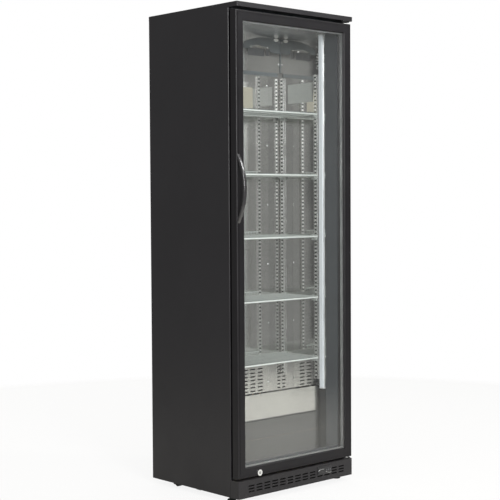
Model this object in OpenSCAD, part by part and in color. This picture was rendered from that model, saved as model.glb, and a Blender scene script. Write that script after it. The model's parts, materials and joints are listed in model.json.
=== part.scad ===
// Upright glass door merchandiser: an insulated black cabinet with one hinged glass door,
// a polished steel interior, five wire shelves and a cooling unit low down at the back.
// Millimetres. +Z is up, -Y is the front, and the origin is on the floor under the middle
// of the whole object. Inside each module, y = 0 is the front plane of the cabinet body.

/* [Cabinet] */
// Overall width
cab_w = 600; // [590:1:620]
// Depth of the side panels, front to back
cab_d = 457; // [450:1:470]
// Overall height
cab_h = 1800; // [1780:5:1840]
// Gap between the floor and the side panels
base_gap = 21; // [19:1:24]
// Thickness of the insulated side walls
wall_t = 37; // [36:1:40]
// Thickness of the outer sheet steel
skin_t = 1.2; // [0.8:0.1:1.5]
// Thickness of the inner sheet steel
liner_t = 1; // [0.8:0.1:1.2]
// Thickness of the top cap
cap_t = 17; // [15:1:20]
// How far the cap stands out over the door
cap_out = 49; // [46:1:55]

/* [Interior] */
// Height of the interior floor
floor_z = 136; // [130:1:142]
// Depth of the interior, front plane to back panel
inner_d = 316; // [312:1:322]
// Height of the lowest shelf
first_shelf_z = 475; // [470:1:485]
// Distance from one shelf to the next
shelf_pitch = 240; // [225:5:245]
// Distance between the wires of a shelf
wire_pitch = 15; // [13:1:18]

/* [Door] */
// Thickness of the door frame
door_t = 29; // [28:1:32]
// Space between the door frame and the cabinet, which the gasket fills
gasket_gap = 12; // [11:0.5:13]
// Width of the frame around the glass
frame_w = 39; // [38:1:44]
// Gap between the cap and the door
door_top_gap = 9; // [8:0.5:10]
// Gap between the plinth and the door
door_low_gap = 7.5; // [7:0.5:9]
// Reach of the handle in front of the door
handle_out = 38; // [32:1:44]
// Length of the handle
handle_len = 246; // [220:2:270]

/* [Hidden] */
$fn = 48;
// Smallest gap that keeps two loose pieces apart
gap = 0.3;
// Radial clearance of a running fit
run = 0.05;

// Cabinet shell
half_w = cab_w / 2;
flange_w = 15;
corner_r = 4;
inner_half = half_w - wall_t;
cap_low = cab_h - cap_t;
ceiling_z = cap_low - 33;
duct_back = inner_d + 90;
// The back wall stands this far forward below the step
low_back = inner_d - 16;
step_z = 316;
room_top = 286;
room_front = inner_d + 20;
tray_t = 3;
tray_top = base_gap + tray_t;
floor_foam_z = 98;
cover_in = 10;

// Plinth and controller
plinth_out = 43;
plinth_low = base_gap - 0.5;
plinth_top = 84.5;
plinth_t = 2;
slot_cols = 13;
slot_col_pitch = 39.5;
slot_rows = 3;
slot_row_pitch = 10.5;
slot_low = 41.5;
ctrl_x = 142.5;
ctrl_z = 61.5;
ctrl_w = 77;
ctrl_h = 29;
ctrl_body_w = 67;
ctrl_body_h = 23;
ctrl_front = -plinth_out - 2;
lens_t = 1.5;
button_r = 3.4;
button_x = [151, 161, 171];
button_travel = 1;

// Door
door_back = -gasket_gap;
door_front = door_back - door_t;
door_low = plinth_top + door_low_gap;
door_top = cap_low - door_top_gap;
door_mid = (door_low + door_top) / 2;
door_h = door_top - door_low;
rebate_w = 10;
lip_t = 4;
pane_t = 4;
air_t = 12;
mitre_gap = 0.15;
gasket_out = half_w - 21;
gasket_w = 17;
gasket_z = 21;
hinge_x = half_w - 19;
hinge_y = -26;
pin_r = 4;
pin_len = 24;
bush_r = 6;
bush_len = 18;
bracket_t = 3;
handle_x = -half_w + 10;
handle_w = 14;
handle_t = 7;
handle_z = 1137;
lock_x = -197;
lock_z = 104.5;
lock_hole_r = 9;
plug_r = 6;
cam_len = 26;
cam_w = 10;
cam_t = 2.5;

// Interior fittings
shelf_front = 88;
shelf_back = inner_d - 8;
shelf_half = inner_half - 9;
shelf_rails = [shelf_front + 3, 165, 238, shelf_back - 3];
rail_r = 3;
wire_r = 1.6;
upstand = 13;
upstand_half = 128;
pilaster_w = 22;
pilaster_t = 6;
pilaster_low = 385;
pilaster_top = 1588;
pilaster_y = [111, 301];
clip_shift = [17, -15];
strip_x = 140;
strip_w = 20;
strip_t = 5;
strip_low = 462;
hole_pitch = 15;
panel_half = 194;
panel_screw_x = panel_half - 4;
panel_screw_z = [360 : 239 : 1560];
cover_screw_x = [50, 255];
cover_screw_z = [1646, 1735];
vent_low = 329;
vent_pitch = 14.6;
vent_rows = 8;
corner_vent_x = 249;
fan_cover_low = 1610;
fan_z = 1680;
fan_r = 52;
throat_in = 60;
throat_t = 1.7;
light_y = 82.3;
light_w = 19.5;
light_d = 7;
light_base = 2.5;
light_low = 353;
light_top = 1739;

// Cooling unit
comp_x = 150;
comp_y = 392;
comp_r = 50;
comp_low = 36;
fan2_x = -74;
fan2_y = 392;
fan2_z = 92;

// Pipes between the machine room and the air duct
pipe_y = 385;
drain_x = -20;
drain_r = 6;
suction_x = 205;
suction_r = 4;
liquid_x = 80;

// Supports
foot_x = half_w - 25;
foot_y = 23;
foot_r = 18;
stud_r = 5;
roller_x = half_w - 42;
roller_y = 345;
roller_r = 15;
roller_w = 18;
axle_r = 3;

// Front plane of the body, from the object's origin
body_front = -(cab_d + door_front - handle_out) / 2;

// ---------- helpers ----------

module in_place() translate([0, body_front, 0]) children();

// A block between two corners
module block(low, high) translate(low) cube(high - low);

// Both the left and the right copy of a piece
module both_sides() {
  children();
  mirror([1, 0, 0]) children();
}

// A rectangle with rounded corners, from one corner to the other
module round_rect(low, high, r) {
  size = high - low;
  translate(low) {
    translate([r, 0]) square([size[0] - 2 * r, size[1]]);
    translate([0, r]) square([size[0], size[1] - 2 * r]);
    for (x = [r, size[0] - r], y = [r, size[1] - r]) translate([x, y]) circle(r);
  }
}

// A slot with round ends, along X
module slot(length, height) {
  square([length - height, height], center = true);
  for (x = [-1, 1]) translate([x * (length - height) / 2, 0]) circle(d = height, $fn = 24);
}

// Stands an outline drawn in X and Z upright, from y = front to y = back
module upright(front, back) {
  translate([0, back, 0]) rotate([90, 0, 0]) linear_extrude(back - front) children();
}

// A cylinder along Y from y = front to y = back
module rod_y(x, z, r, front, back) {
  translate([x, back, z]) rotate([90, 0, 0]) cylinder(r = r, h = back - front);
}

// A cylinder along X from x = left to x = right
module rod_x(y, z, r, left, right) {
  translate([left, y, z]) rotate([0, 90, 0]) cylinder(r = r, h = right - left);
}

// A round pipe through a list of points, with slightly wider brazed balls at the corners
module pipe(points, r) {
  for (i = [0 : len(points) - 2]) {
    step = points[i + 1] - points[i];
    turn = atan2(step[1], step[0]);
    tilt = acos(step[2] / norm(step));
    translate(points[i]) rotate([0, tilt, turn]) cylinder(r = r, h = norm(step));
  }
  for (i = [1 : len(points) - 2]) translate(points[i]) sphere(1.2 * r);
}

// ---------- outer shell ----------

module side_panel_left() color("#302e30") in_place()
  translate([0, 0, base_gap]) linear_extrude(cap_low - base_gap) difference() {
    intersection() {
      round_rect([-half_w, 0], [-half_w + 3 * flange_w, cab_d], corner_r);
      translate([-half_w, 0]) square([flange_w, cab_d]);
    }
    round_rect([-half_w + skin_t, skin_t], [-half_w + 4 * flange_w, cab_d - skin_t],
      corner_r - skin_t);
  }

module side_panel_right() mirror([1, 0, 0]) side_panel_left();

module rear_panel() color("#8d8f90") in_place()
  block([-half_w + flange_w + 0.2, cab_d - skin_t, room_top],
    [half_w - flange_w - 0.2, cab_d, cap_low]);

module top_cap() color("#2c2a2c") in_place() translate([0, 0, cap_low])
  linear_extrude(cap_t) round_rect([-half_w, -cap_out], [half_w, cab_d], 3);

// The floor of the machine room, with welded nuts for the front feet
module base_tray() color("#5b5d5f") in_place() difference() {
  union() {
    block([-half_w + 2, 2, base_gap], [half_w - 2, cab_d - cover_in - skin_t, tray_top]);
    both_sides() {
      translate([foot_x, foot_y, base_gap]) cylinder(r = 10, h = 15);
      block([half_w - 20, 190, base_gap - 8], [half_w - 17, 212, base_gap + 1]);
    }
  }
  both_sides() {
    translate([foot_x, foot_y, 0]) cylinder(r = stud_r + run, h = 100);
    block([roller_x - 11, roller_y - 18, 0], [roller_x + 11, roller_y + 18, 100]);
  }
}

// The vented cover over the machine room
module machine_cover() color("#8d8f90") in_place() {
  wide = half_w - flange_w - 1;
  upright(cab_d - cover_in - skin_t, cab_d - cover_in) difference() {
    translate([-wide, base_gap - 4]) square([2 * wide, room_top - base_gap + 4]);
    for (x = [-210 : 60 : 210], z = [70 : 14 : 238])
      translate([x, z]) slot(44, 6);
    translate([240, 50]) circle(r = 9);
  }
}

// Holes for the drain pipe and the two refrigerant lines, from z = low upwards
module pipe_holes(low) {
  translate([drain_x, pipe_y, low - 1]) cylinder(r = drain_r + gap, h = 60);
  for (x = [liquid_x, suction_x])
    translate([x, pipe_y, low - 1]) cylinder(r = suction_r + gap, h = 60);
}

// Foamed insulation, as the slabs between the outer and the inner sheets
module insulation() color("#d9c48f") in_place() {
  side = inner_half + liner_t;
  foam_back = cab_d - skin_t;
  both_sides() difference() {
    block([side, 8.2, floor_foam_z], [half_w - skin_t - 1, foam_back - 1, cap_low]);
    block([0, cab_d - cover_in - skin_t - gap, 0],
      [half_w - flange_w - 0.5, cab_d, room_top + 0.2]);
  }
  block([-side + 0.1, 8.2, ceiling_z + liner_t], [side - 0.1, foam_back, cap_low]);
  difference() {
    union() {
      block([-side + 0.1, duct_back + liner_t, room_top],
        [side - 0.1, foam_back, ceiling_z + liner_t - 0.1]);
      block([-inner_half + 0.1, low_back + liner_t, room_top],
        [inner_half - 0.1, duct_back + 1.5, step_z]);
    }
    pipe_holes(room_top);
  }
  block([-side + 0.1, 8.2, floor_foam_z], [side - 0.1, low_back, floor_z - liner_t]);
  block([-inner_half + 0.1, low_back + liner_t, floor_foam_z],
    [inner_half - 0.1, room_front, room_top - 0.1]);
}

// ---------- liner ----------

module liner_left() color("#b4b7b9") in_place()
  block([-inner_half - liner_t, 8.2, floor_z], [-inner_half, duct_back, ceiling_z]);

module liner_right() mirror([1, 0, 0]) liner_left();

module liner_ceiling() color("#b4b7b9") in_place()
  block([-inner_half - liner_t, 8.2, ceiling_z + 0.05],
    [inner_half + liner_t, duct_back, ceiling_z + liner_t]);

module liner_floor() color("#b4b7b9") in_place()
  block([-inner_half - liner_t, 8.2, floor_z - liner_t],
    [inner_half + liner_t, low_back - 0.1, floor_z - 0.05]);

// One folded sheet: low back wall, floor of the air duct and back wall of the duct,
// and the two strips that carry the edges of the duct panel
module liner_back() color("#a9acae") in_place() {
  wide = inner_half - 0.2;
  difference() {
    union() {
      block([-wide, low_back, floor_z + 0.1], [wide, low_back + liner_t, step_z + liner_t]);
      block([-wide, low_back, step_z], [wide, duct_back + liner_t, step_z + liner_t]);
      block([-wide, duct_back, step_z], [wide, duct_back + liner_t, ceiling_z - 0.1]);
    }
    pipe_holes(step_z);
  }
  both_sides() upright(inner_d, inner_d + liner_t) difference() {
    translate([panel_half - 16, step_z + 2])
      square([wide - panel_half + 16, fan_cover_low - step_z - 3]);
    for (row = [0 : vent_rows - 1])
      translate([corner_vent_x, vent_low + row * vent_pitch]) slot(18, 5);
    for (z = panel_screw_z) translate([panel_screw_x, z]) circle(r = 2.05, $fn = 24);
  }
}

// The four plastic strips around the door opening. The upright ones fold back along the walls.
module throat_strips() color("#35383b") in_place() {
  outer = half_w - flange_w - 0.2;
  both_sides() {
    block([inner_half, 0, floor_z + 0.2], [outer, 8, ceiling_z - 0.2]);
    block([inner_half - throat_t, 0, floor_z + 0.2], [inner_half + 1, 8, ceiling_z - 0.2]);
    block([inner_half - throat_t, 0, floor_z + 0.2],
      [inner_half - 0.2, throat_in, ceiling_z - 0.2]);
  }
  block([-outer, 0, ceiling_z], [outer, 8, cap_low - 0.1]);
  block([-outer, 0, plinth_top + 8], [outer, 8, floor_z]);
}

// ---------- air duct ----------

module duct_panel() color("#9fa2a3") in_place()
  upright(inner_d - liner_t, inner_d) difference() {
    translate([-panel_half, step_z + 4])
      square([2 * panel_half, fan_cover_low - step_z - 4.5]);
    for (x = [-143.5 : 41 : 143.5], row = [0 : vent_rows - 1])
      translate([x, vent_low + row * vent_pitch]) slot(28, 5);
    for (side = [-1, 1], z = panel_screw_z)
      translate([side * panel_screw_x, z]) circle(r = 2.05, $fn = 24);
  }

// The cover over the fan, with a grille in the middle and air outlets at both sides
module fan_cover() color("#9fa2a3") in_place()
  upright(inner_d - 2 * liner_t, inner_d - liner_t) difference() {
    translate([-inner_half + 0.5, fan_cover_low])
      square([2 * inner_half - 1, ceiling_z - fan_cover_low - 0.5]);
    for (row = [-4 : 4]) {
      drop = 12 * row;
      translate([0, fan_z + drop]) slot(2 * sqrt(56 * 56 - drop * drop), 7);
    }
    for (side = [-1, 1]) {
      translate([side * 130.5, fan_z + 7]) square([87, 30], center = true);
      translate([side * 192, fan_z + 10]) square([16, 30], center = true);
      for (x = cover_screw_x, z = cover_screw_z)
        translate([side * x, z]) circle(r = 2.05, $fn = 24);
    }
  }

// Tubes along X through a row of upright fins
module fin_coil(length, depth, height, fins, tube_rows, tube_r) {
  pitch = length / (fins - 1);
  for (i = [0 : fins - 1])
    translate([i * pitch - length / 2 - 0.3, 0, 0]) cube([0.6, depth, height]);
  for (row = [0 : tube_rows - 1], y = [0.28, 0.72])
    rod_x(y * depth, (row + 0.5) * height / tube_rows, tube_r, -length / 2 - 8, length / 2 + 8);
}

module evaporator_coil() color("#c3c6c8") in_place() translate([0, 326, 1430])
  fin_coil(330, 66, 150, 23, 5, 4);

module evaporator_fan_motor() color("#4a4b4d") in_place() {
  rod_y(0, fan_z, 22, 354, 390);
  rod_y(0, fan_z, 3, 326, 355);
  block([-80, 389, fan_z - 9], [80, 392, fan_z + 9]);
  for (x = [-70, 70]) rod_y(x, fan_z, 5, 391, duct_back);
}

// Hub and blades around the X axis, starting at x = 0
module fan_wheel(r, hub_r, bore_r, depth, blades) difference() {
  union() {
    rod_x(0, 0, hub_r, 0, depth);
    for (i = [0 : blades - 1]) rotate([i * 360 / blades, 0, 0])
      translate([depth / 2, 0, (r + hub_r) / 2 - 1]) rotate([0, 0, 32])
        cube([1.6, 26, r - hub_r + 2], center = true);
  }
  rod_x(0, 0, bore_r, -1, depth + 1);
}

module evaporator_fan() color("#e6e6e2") in_place() translate([0, 330, fan_z])
  rotate([0, 0, 90]) fan_wheel(fan_r, 12, 3 + run, 18, 5);

// The tray under the coil with its long drain pipe
module drip_tray() color("#d8dadb") in_place() {
  difference() {
    block([-178, 322, 1404], [178, 400, 1422]);
    block([-176.5, 323.5, 1406], [176.5, 398.5, 1423]);
    translate([drain_x, pipe_y, 1400]) cylinder(r = drain_r - 1.5, h = 20);
  }
  translate([drain_x, pipe_y, 222]) difference() {
    cylinder(r = drain_r, h = 1183);
    translate([0, 0, -1]) cylinder(r = drain_r - 1.5, h = 1190);
  }
}

// ---------- shelves, their supports and the light ----------

// A channel with a row of hooking holes; it stands on y = 0 and faces -Y
module slotted_bar(width, depth, low, high) difference() {
  block([-width / 2, -depth, low], [width / 2, 0, high]);
  block([-width / 2 + 2, -depth + 1.2, low - 1], [width / 2 - 2, 1, high + 1]);
  for (z = [low + 8 : hole_pitch : high - 6])
    block([-4.5, -depth - 1, z - 2], [4.5, 0, z + 2]);
}

// Two bars on each side wall and two narrower ones on the duct panel
module pilasters() color("#c8cacb") in_place() both_sides() {
  for (y = pilaster_y) translate([inner_half, y, 0]) rotate([0, 0, -90])
    slotted_bar(pilaster_w, pilaster_t, pilaster_low, pilaster_top);
  translate([strip_x, inner_d - liner_t, 0])
    slotted_bar(strip_w, strip_t, strip_low, pilaster_top);
}

// The height of the top of a shelf's rails
function shelf_z(i) = first_shelf_z + shelf_pitch * (i - 1);

// A tongue under the shelf rail and, a little further along the wall, a nose beside it
module clip(shift) {
  block([-14, -5, -5 - gap], [0, 5, -gap]);
  block([-14, -5, -5 - gap], [-12.5, shift < 0 ? 0.5 : 5, 1.5]);
  block([-2.5, min(-5, shift - 4), -12], [0, max(5, shift + 4), -gap]);
  block([-2.5, shift - 4, -12], [4, shift + 4, 11]);
}

module shelf_clips() color("#f2f2ee") in_place() both_sides()
  for (i = [1 : 5], k = [0, 1])
    translate([inner_half - pilaster_t, pilaster_y[k], shelf_z(i) - 2 * rail_r])
      clip(clip_shift[k]);

// A wire shelf: rails all round, two cross rails and wires from front to back. The
// middle wires turn up at the back to carry the stop rail.
module wire_shelf(i) color("#dfe2e2") in_place() translate([0, 0, shelf_z(i)]) {
  side_x = shelf_half - rail_r;
  count = floor((side_x - 8) / wire_pitch);
  for (y = shelf_rails) rod_x(y, -rail_r, rail_r, -side_x, side_x, $fn = 8);
  for (side = [-1, 1]) translate([side * side_x, shelf_front, -rail_r]) rotate([-90, 0, 0])
    cylinder(r = rail_r, h = shelf_back - shelf_front, $fn = 8);
  for (k = [-count : count]) translate([k * wire_pitch, shelf_front + 1, wire_r - 0.6]) {
    rotate([-90, 0, 0]) cylinder(r = wire_r, h = shelf_back - shelf_front - 2, $fn = 6);
    if (abs(k * wire_pitch) < upstand_half)
      translate([0, shelf_back - shelf_front - 3, 0]) cylinder(r = wire_r, h = upstand, $fn = 6);
  }
  rod_x(shelf_back - 2, upstand + wire_r, 2, -upstand_half, upstand_half, $fn = 8);
}

module shelf_1() wire_shelf(1);
module shelf_2() wire_shelf(2);
module shelf_3() wire_shelf(3);
module shelf_4() wire_shelf(4);
module shelf_5() wire_shelf(5);

module light_housing() color("#c9cccd") in_place() {
  block([inner_half - light_base, light_y - light_w / 2 - 0.5, light_low],
    [inner_half, light_y + light_w / 2 + 0.5, light_top]);
  for (z = [light_low - 4, light_top])
    block([inner_half - light_d - 1, light_y - light_w / 2 - 0.5, z],
      [inner_half, light_y + light_w / 2 + 0.5, z + 4]);
}

module light_diffuser() color("#f1f4f4") in_place() translate([0, 0, light_low])
  linear_extrude(light_top - light_low) intersection() {
    round_rect([inner_half - light_d, light_y - light_w / 2],
      [inner_half + light_d, light_y + light_w / 2], 2.5);
    translate([inner_half - light_d, 0]) square([light_d - light_base, 200]);
  }

// ---------- plinth and controller ----------

module plinth_grille() color("#29272a") in_place() difference() {
  translate([0, 0, plinth_low]) linear_extrude(plinth_top - plinth_low) intersection() {
    round_rect([-half_w, -plinth_out], [half_w, 30], 5);
    translate([-half_w, -plinth_out]) square([cab_w, plinth_out - gap]);
  }
  block([-half_w + plinth_t, -plinth_out + plinth_t, 0],
    [half_w - plinth_t, 1, plinth_top - plinth_t]);
  block([-half_w + plinth_t, -4, 0], [half_w - plinth_t, 1, 100]);
  upright(-plinth_out - 1, -plinth_out + plinth_t + 1) {
    for (col = [0 : slot_cols - 1], row = [0 : slot_rows - 1]) {
      x = (col - (slot_cols - 1) / 2) * slot_col_pitch;
      hidden = abs(x - ctrl_x) < ctrl_w / 2 && row > 0;
      if (!hidden) translate([x, slot_low + row * slot_row_pitch]) slot(30, 5.5);
    }
    translate([ctrl_x, ctrl_z]) square([ctrl_body_w + 1, ctrl_body_h + 1], center = true);
  }
  block([lock_x - 8, -15, 0], [lock_x + 21, -6, 100]);
}

module controller_housing() color("#17171a") in_place() difference() {
  union() {
    upright(ctrl_front, -plinth_out) translate([ctrl_x, ctrl_z])
      round_rect([-ctrl_w / 2, -ctrl_h / 2], [ctrl_w / 2, ctrl_h / 2], 4);
    block([ctrl_x - ctrl_body_w / 2, -plinth_out - 1, ctrl_z - ctrl_body_h / 2],
      [ctrl_x + ctrl_body_w / 2, -14, ctrl_z + ctrl_body_h / 2]);
  }
  for (x = button_x) {
    rod_y(x, ctrl_z, button_r + gap, ctrl_front - 1, -plinth_out + 1);
    rod_y(x, ctrl_z, button_r + 1.2, -plinth_out, -plinth_out + 5);
  }
}

module controller_lens() color("#101014") in_place()
  upright(ctrl_front - lens_t, ctrl_front) difference() {
    translate([ctrl_x, ctrl_z])
      round_rect([-ctrl_w / 2 + 3, -ctrl_h / 2 + 3], [ctrl_w / 2 - 3, ctrl_h / 2 - 3], 2.5);
    for (x = button_x) translate([x, ctrl_z]) circle(r = button_r + gap);
  }

module button(i) color("#3a3a3e") in_place() {
  x = button_x[i - 1];
  rod_y(x, ctrl_z, button_r, ctrl_front - lens_t - 0.9, -plinth_out + 1);
  rod_y(x, ctrl_z, button_r + 0.8, -plinth_out + gap, -plinth_out + 1.3);
}

module button_1() button(1);
module button_2() button(2);
module button_3() button(3);

// ---------- machine room ----------

module compressor() color("#1b1b1d") in_place() translate([comp_x, comp_y, comp_low]) {
  cylinder(r = comp_r, h = 80);
  translate([0, 0, 80]) intersection() {
    translate([0, 0, -30]) sphere(r = sqrt(comp_r * comp_r + 900));
    cylinder(r = comp_r, h = 60);
  }
  block([-72, -40, -6], [72, 40, 0.5]);
  for (x = [-62, 62], y = [-30, 30])
    translate([x, y, tray_top - comp_low]) cylinder(r = 8, h = comp_low - tray_top - 6);
}

module condenser_coil() color("#2a2a2c") in_place() translate([-178, 344, tray_top + 2])
  fin_coil(122, 92, 130, 15, 5, 3.5);

module condenser_fan_motor() color("#4a4b4d") in_place() {
  rod_x(fan2_y, fan2_z, 20, fan2_x + 26, fan2_x + 60);
  rod_x(fan2_y, fan2_z, 2.5, fan2_x - 4, fan2_x + 27);
  block([fan2_x + 40, fan2_y - 15, tray_top], [fan2_x + 43, fan2_y + 15, fan2_z]);
  block([fan2_x + 40, fan2_y - 15, tray_top], [fan2_x + 70, fan2_y + 15, tray_top + 2]);
}

module condenser_fan() color("#d8d8d4") in_place() translate([fan2_x, fan2_y, fan2_z])
  fan_wheel(48, 10, 2.5 + run, 16, 5);

// A tray hung by four straps from the roof of the machine room
module evaporation_tray() color("#3b3c3e") in_place() {
  difference() {
    block([-70, 345, 196], [60, 438, 224]);
    block([-68, 347, 198], [58, 436, 225]);
  }
  for (y = [345, 420]) {
    block([-70, y, 223], [-68, y + 18, room_top - 0.1]);
    block([-80, y, room_top - 2], [-69, y + 18, room_top - 0.1]);
    block([58, y, 223], [60, y + 18, room_top - 0.1]);
    block([59, y, room_top - 2], [70, y + 18, room_top - 0.1]);
  }
}

// Suction line, discharge line, and the liquid line with its filter drier and capillary
module refrigerant_pipes() color("#b9744a") in_place() {
  pipe([[comp_x, pipe_y, 144.5], [comp_x, pipe_y, 265], [suction_x, pipe_y, 265],
    [suction_x, pipe_y, 1500], [174, pipe_y, 1500]], suction_r);
  pipe([[101, 410, 80], [88, 410, 80], [88, 436, 80], [88, 436, 39], [-103, 436, 39],
    [-103, 410, 39], [-108.5, 410, 39]], 3);
  pipe([[-108.5, 370, 143], [-103, 370, 143], [-103, 370, 170], [liquid_x, 370, 170],
    [liquid_x, pipe_y, 170], [liquid_x, pipe_y, 183]], 2.5);
  translate([liquid_x, pipe_y, 182]) cylinder(r = 8, h = 58);
  pipe([[liquid_x, pipe_y, 239], [liquid_x, pipe_y, 1392], [188, pipe_y, 1392],
    [188, pipe_y, 1540], [174, pipe_y, 1540]], 2);
}

// Terminal box with the gland for the supply cord
module power_inlet_box() color("#222226") in_place() {
  block([226, 410, 34], [262, cab_d - cover_in - skin_t - 0.2, 78]);
  difference() {
    rod_y(240, 50, 8.7, cab_d - cover_in - 4, cab_d - 1);
    rod_y(240, 50, 3.6, cab_d - cover_in - 3, cab_d);
  }
}

// ---------- hinges, feet, rollers and screws ----------

module hinge_brackets() color("#252427") in_place() {
  block([hinge_x - 19, -34, cap_low - bracket_t], [hinge_x + 17, -1, cap_low]);
  translate([hinge_x, hinge_y, cap_low - bracket_t + 0.5 - pin_len])
    cylinder(r = pin_r, h = pin_len);
  block([hinge_x - 19, -34, plinth_top + 1], [hinge_x + 17, 0, plinth_top + 1 + bracket_t]);
  block([hinge_x - 19, -3, 30], [hinge_x + 17, 0, plinth_top + 1.5]);
  translate([hinge_x, hinge_y, plinth_top + 1.5]) cylinder(r = pin_r, h = pin_len);
}

module roller_brackets() color("#2b2b2d") in_place() both_sides()
  translate([roller_x, roller_y, 0]) {
    for (x = [-11.5, 10]) difference() {
      block([x, -20, 6], [x + 1.5, 20, base_gap]);
      translate([x - 1, 0, roller_r]) rod_x(0, 0, axle_r, 0, 4);
    }
    rod_x(0, roller_r, axle_r, -13, 13);
    difference() {
      block([-16, -30, base_gap - 2], [16, 30, base_gap]);
      block([-10, -18, 0], [10, 18, 100]);
    }
  }

module roller() color("#19191b") difference() {
  rod_x(0, 0, roller_r, -roller_w / 2, roller_w / 2);
  rod_x(0, 0, axle_r + run, -20, 20);
}

module roller_left() in_place() translate([-roller_x, roller_y, roller_r]) roller();
module roller_right() in_place() translate([roller_x, roller_y, roller_r]) roller();

module foot() color("#1a1a1c") {
  cylinder(r1 = foot_r, r2 = foot_r - 3, h = 9);
  translate([0, 0, 9]) cylinder(r = 9, h = 6);
  cylinder(r = stud_r, h = 52);
}

module foot_left() in_place() translate([-foot_x, foot_y, 0]) foot();
module foot_right() in_place() translate([foot_x, foot_y, 0]) foot();

// A pan-head screw, with its head towards the front
module screw(x, z, face) {
  rod_y(x, z, 4, face - 2, face);
  rod_y(x, z, 2, face - 0.5, face + 7);
}

module panel_screws() color("#d5d7d8") in_place() {
  for (side = [-1, 1]) {
    for (z = panel_screw_z) screw(side * panel_screw_x, z, inner_d - liner_t);
    for (x = cover_screw_x, z = cover_screw_z) screw(side * x, z, inner_d - 2 * liner_t);
  }
}

// ---------- door ----------

// Section of the frame: x runs from the outer edge to the glass, y from front to back
module frame_section() {
  solid_w = frame_w - rebate_w;
  edge_r = 5;
  difference() {
    union() {
      translate([edge_r, edge_r]) circle(edge_r);
      translate([0, edge_r]) square([solid_w, door_t - edge_r]);
      translate([edge_r, 0]) square([frame_w - edge_r, lip_t]);
      translate([edge_r, 0]) square([solid_w - edge_r, door_t]);
      translate([0, door_t - 5]) square([frame_w, 5]);
    }
    translate([9, -1]) square([2, 2]);
    polygon([[frame_w - lip_t, -0.01], [frame_w + 1, -0.01], [frame_w + 1, lip_t + 1]]);
  }
}

// The wedge of the door that one side of the frame lies in; far is the half length
module mitre_wedge(far) upright(-100, 100) polygon([
  [-0.01, -far + mitre_gap], [frame_w + 0.01, -far + frame_w + mitre_gap],
  [frame_w + 0.01, far - frame_w - mitre_gap], [-0.01, far - mitre_gap]]);

// One side of the frame, standing up, with its outer edge at x = 0
module frame_side(length) intersection() {
  translate([0, door_front, -length / 2]) linear_extrude(length) frame_section();
  mitre_wedge(length / 2);
}

// Holes for the hinge bushes and for the lock
module door_holes() {
  for (z = [door_low - 1, door_top - bush_len])
    translate([hinge_x, hinge_y, z]) cylinder(r = bush_r, h = bush_len + 1);
  rod_y(lock_x, lock_z, lock_hole_r, door_front - 1, door_back + 1);
}

module door_stile_left() color("#29272a") in_place()
  translate([-half_w, 0, door_mid]) frame_side(door_h);

module door_stile_right() color("#29272a") in_place() difference() {
  mirror([1, 0, 0]) translate([-half_w, 0, door_mid]) frame_side(door_h);
  door_holes();
}

module door_rail_top() color("#29272a") in_place() difference() {
  translate([0, 0, door_top]) rotate([0, 90, 0]) frame_side(cab_w);
  door_holes();
}

module door_rail_bottom() color("#29272a") in_place() difference() {
  translate([0, 0, door_low]) rotate([0, -90, 0]) frame_side(cab_w);
  door_holes();
}

module pane(front) {
  edge = frame_w - rebate_w + 0.5;
  block([-half_w + edge, front, door_low + edge],
    [half_w - edge, front + pane_t, door_top - edge]);
}

module door_outer_glass() color("#cfe0df80") in_place() pane(door_front + lip_t);
module door_inner_glass() color("#cfe0df80") in_place() pane(door_front + lip_t + pane_t + air_t);

// A rectangular ring around the door glass; side and end are its outer half sizes
module ring(side, end, width, front, back) upright(front, back)
  translate([0, door_mid]) difference() {
    square([2 * side, 2 * end], center = true);
    square([2 * (side - width), 2 * (end - width)], center = true);
  }

module glass_spacer() color("#c9cdcf") in_place() {
  front = door_front + lip_t + pane_t;
  edge = frame_w - 4;
  ring(half_w - edge, door_h / 2 - edge, 7.5, front, front + air_t);
}

module door_gasket() color("#0f0f10") in_place() {
  end = door_h / 2 - gasket_z;
  ring(gasket_out, end, gasket_w, door_back, door_back + 3);
  ring(gasket_out - 3, end - 3, gasket_w - 7, door_back + 2.5, door_back + 7);
  ring(gasket_out, end, gasket_w - 3, door_back + 6.5, -0.5);
}

// A bow handle: the part of a round strap that stands in front of the door
module door_handle() color("#151416") in_place() {
  reach = handle_out;
  half = handle_len / 2;
  outer_r = (half * half + reach * reach) / (2 * reach);
  inner_reach = reach - handle_t;
  inner_half_len = half - 18;
  inner_r = (inner_half_len * inner_half_len + inner_reach * inner_reach) / (2 * inner_reach);
  translate([handle_x - handle_w / 2, door_front, handle_z]) rotate([90, 0, 90])
    linear_extrude(handle_w) difference() {
      intersection() {
        translate([outer_r - reach, 0]) circle(outer_r, $fn = 160);
        translate([-reach, -half]) square([reach, handle_len]);
      }
      translate([inner_r - inner_reach, 0]) circle(inner_r, $fn = 160);
    }
}

module lock_barrel() color("#c5c7c9") in_place() difference() {
  union() {
    rod_y(lock_x, lock_z, 11.3, door_front - 5, door_front);
    rod_y(lock_x, lock_z, lock_hole_r, door_front - 1, door_back - 0.4);
  }
  rod_y(lock_x, lock_z, plug_r + run, door_front - 10, door_back + 1);
}

// The key plug and its cam, which turns down into the plinth
module lock_plug() color("#b2b5b8") in_place() difference() {
  union() {
    rod_y(lock_x, lock_z, plug_r, door_front - 4.5, door_back + 0.4);
    rod_y(lock_x, lock_z, 7.5, door_back + gap, door_back + gap + cam_t);
    block([lock_x, door_back + gap, lock_z - cam_w / 2],
      [lock_x + cam_len, door_back + gap + cam_t, lock_z + cam_w / 2]);
  }
  block([lock_x - 0.8, door_front - 10, lock_z - 3.5], [lock_x + 0.8, door_front + 3, lock_z + 3.5]);
}

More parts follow.
